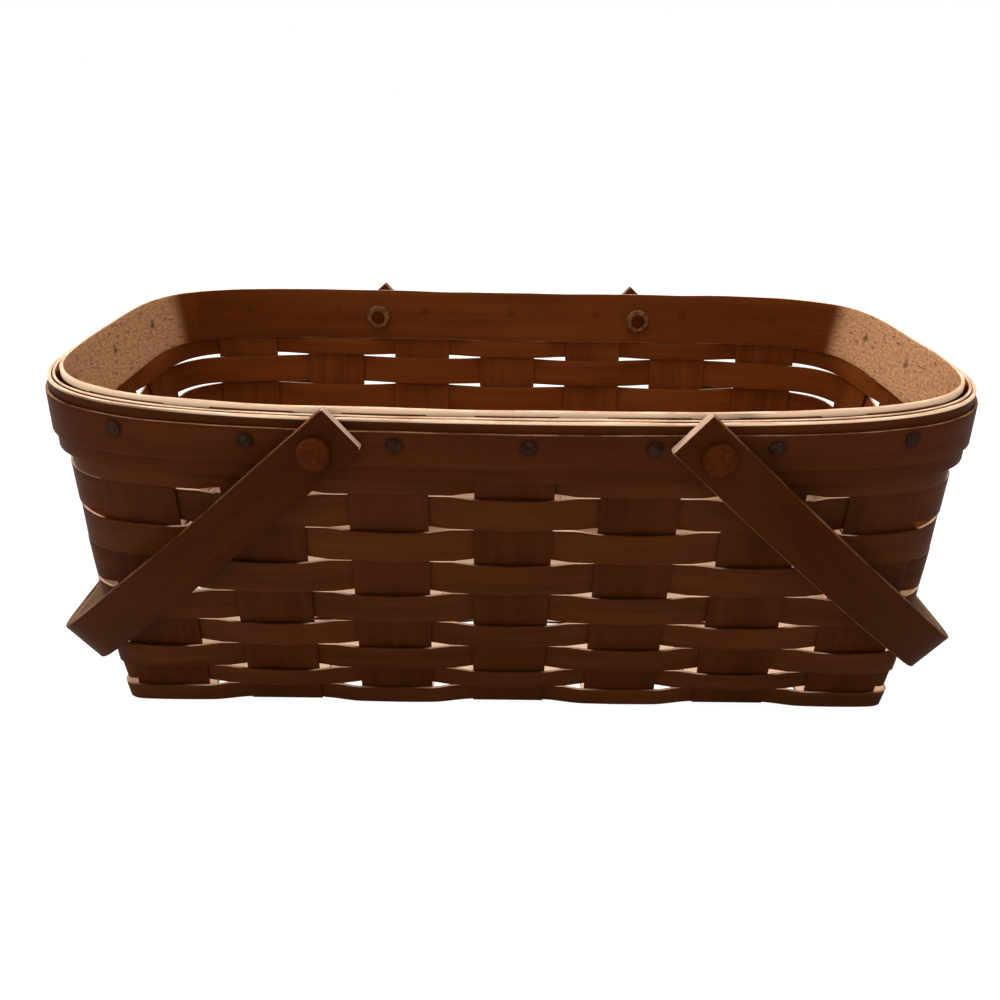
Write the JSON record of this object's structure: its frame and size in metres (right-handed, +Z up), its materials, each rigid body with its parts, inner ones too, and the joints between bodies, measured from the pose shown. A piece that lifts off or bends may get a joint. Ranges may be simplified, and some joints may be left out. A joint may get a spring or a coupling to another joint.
{
  "type": "market basket",
  "caption": "Oblong open market basket woven from wide wood splints, with a banded rim and two swinging bentwood handles on wooden pegs.",
  "frame": {"origin": "middle of the bottom, on the surface that the basket stands on", "axes": "+X runs along the basket to its right end, +Y to its rear side, +Z up"},
  "size_m": [0.4844, 0.311, 0.1824],
  "materials": {
    "stakes": "dark reddish brown stain, satin, grain along the splint",
    "weavers": "dark reddish brown stain, satin, pale raw edges",
    "bands": "dark brown stain, satin, pale raw top edges",
    "handles": "dark brown stain, satin, grain along the bend",
    "pegs": "warm brown stained turned wood, satin",
    "tacks": "dark iron, dull"
  },
  "bodies": {
    "basket": {"cross_stake_1": "stakes", "cross_stake_2": "stakes", "cross_stake_3": "stakes", "cross_stake_4": "stakes", "cross_stake_5": "stakes", "cross_stake_6": "stakes", "cross_stake_7": "stakes", "long_stake_1": "stakes", "long_stake_2": "stakes", "long_stake_3": "stakes", "weaver_1": "weavers", "weaver_2": "weavers", "weaver_3": "weavers", "weaver_4": "weavers", "weaver_5": "weavers", "weaver_6": "weavers", "weaver_7": "weavers", "weaver_8": "weavers", "weaver_9": "weavers", "rim_filler": "weavers", "inner_band": "bands", "outer_band": "bands", "trim_strip": "bands", "tack_01": "tacks", "tack_02": "tacks", "tack_03": "tacks", "tack_04": "tacks", "tack_05": "tacks", "tack_06": "tacks", "tack_07": "tacks", "tack_08": "tacks", "tack_09": "tacks", "tack_10": "tacks", "tack_11": "tacks", "tack_12": "tacks", "tack_13": "tacks", "tack_14": "tacks", "tack_15": "tacks", "tack_16": "tacks", "tack_17": "tacks", "tack_18": "tacks", "tack_19": "tacks", "tack_20": "tacks", "peg_front_left": "pegs", "peg_front_right": "pegs", "peg_rear_left": "pegs", "peg_rear_right": "pegs", "washer_front_left": "pegs", "washer_front_right": "pegs", "washer_rear_left": "pegs", "washer_rear_right": "pegs"},
    "left_handle": {"left_handle": "handles"},
    "right_handle": {"right_handle": "handles"}
  },
  "joints": [
    {"name": "left_handle_swing", "type": "hinge", "parent": "basket", "child": "left_handle", "pos_m": [-0.0912, 0, 0.1615], "axis": [0, 1, 0], "range_deg": [0, 157]},
    {"name": "right_handle_swing", "type": "hinge", "parent": "basket", "child": "right_handle", "pos_m": [0.0912, 0, 0.1615], "axis": [0, -1, 0], "range_deg": [0, 157]}
  ]
}
